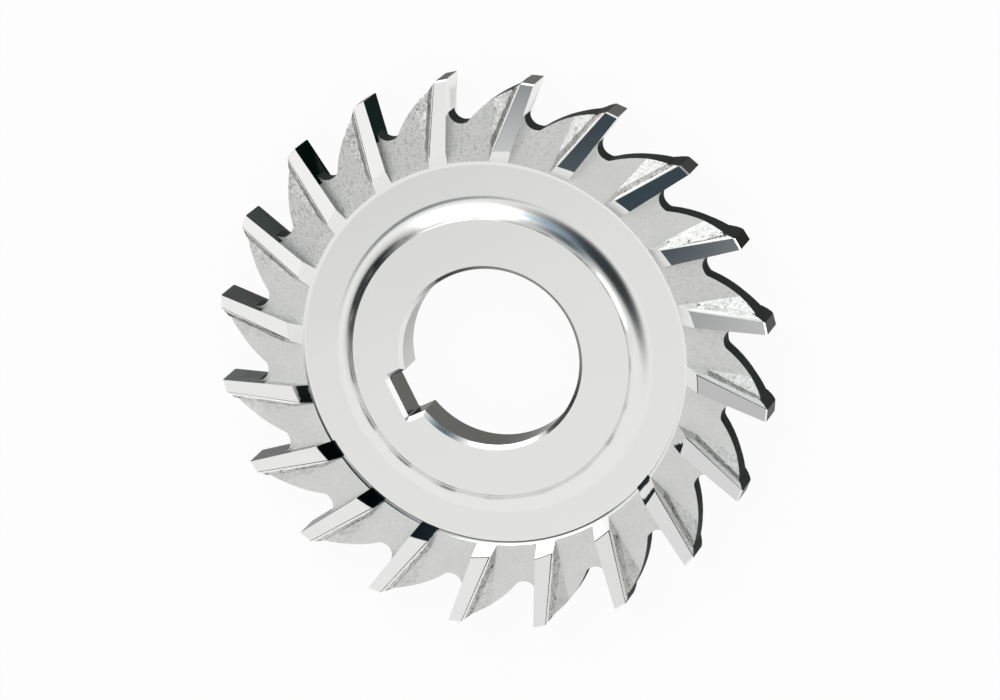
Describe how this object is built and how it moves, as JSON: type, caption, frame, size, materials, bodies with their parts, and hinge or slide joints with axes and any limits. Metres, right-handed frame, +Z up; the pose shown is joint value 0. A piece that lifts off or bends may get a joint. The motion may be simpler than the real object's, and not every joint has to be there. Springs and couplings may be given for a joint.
{
  "type": "side and face cutter",
  "caption": "Straight-tooth milling cutter: a thin steel disc with teeth round the rim and on both sides, a raised hub, a bore and a keyway for the arbor.",
  "frame": {"origin": "on the bore's axis, on the lower hub face that the cutter lies on", "axes": "+Z up along the bore's axis, +X towards one tooth's tip, and the keyway opens towards -X; seen from above the cutter turns clockwise"},
  "size_m": [0.1, 0.1, 0.008],
  "materials": {
    "cutter_body": "ground hub, side strips, rake faces and lands, and finely blasted gashes and gullets"
  },
  "bodies": {
    "root": {"cutter_body": "cutter_body"}
  },
  "joints": []
}
